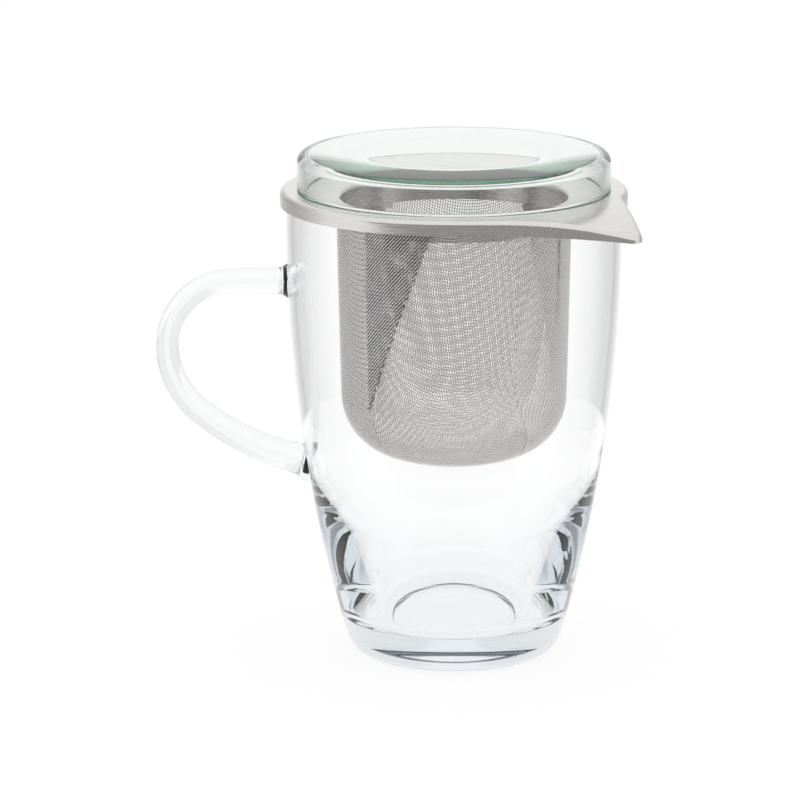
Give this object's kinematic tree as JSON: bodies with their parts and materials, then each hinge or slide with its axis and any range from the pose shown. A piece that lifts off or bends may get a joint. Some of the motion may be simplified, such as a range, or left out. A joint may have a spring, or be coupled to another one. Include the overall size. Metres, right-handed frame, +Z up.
{
  "type": "lidded tea mug with infuser",
  "caption": "Tall glass tea mug with a rod handle, a wire-cloth infuser hanging from a steel flange with a pouring lug, and a loose glass lid shaped like a shallow dish upside down.",
  "frame": {"origin": "centre of the mug's foot, on the surface it stands on", "axes": "+Z up along the mug's axis, -X towards the handle, -Y to the front; the pouring lug points to the front right, between +X and -Y"},
  "size_m": [0.1218, 0.0882, 0.1303],
  "materials": {
    "mug_glass": "clear borosilicate glass, fire-polished",
    "lid_glass": "clear pressed glass, slightly green in thick sections",
    "steel_sheet": "stamped stainless steel, finely brushed",
    "wire_cloth": "woven stainless wire cloth, bright"
  },
  "bodies": {
    "mug": {"mug_body": "mug_glass", "mug_handle": "mug_glass"},
    "infuser": {"infuser_rim": "steel_sheet", "infuser_basket": "wire_cloth"},
    "lid": {"lid": "lid_glass"}
  },
  "joints": [
    {"name": "infuser_lift", "type": "slide", "parent": "mug", "child": "infuser", "axis": [0, 0, 1], "range_m": [0, 0.09]},
    {"name": "lid_lift", "type": "slide", "parent": "infuser", "child": "lid", "axis": [0, 0, 1], "range_m": [0, 0.04]}
  ]
}
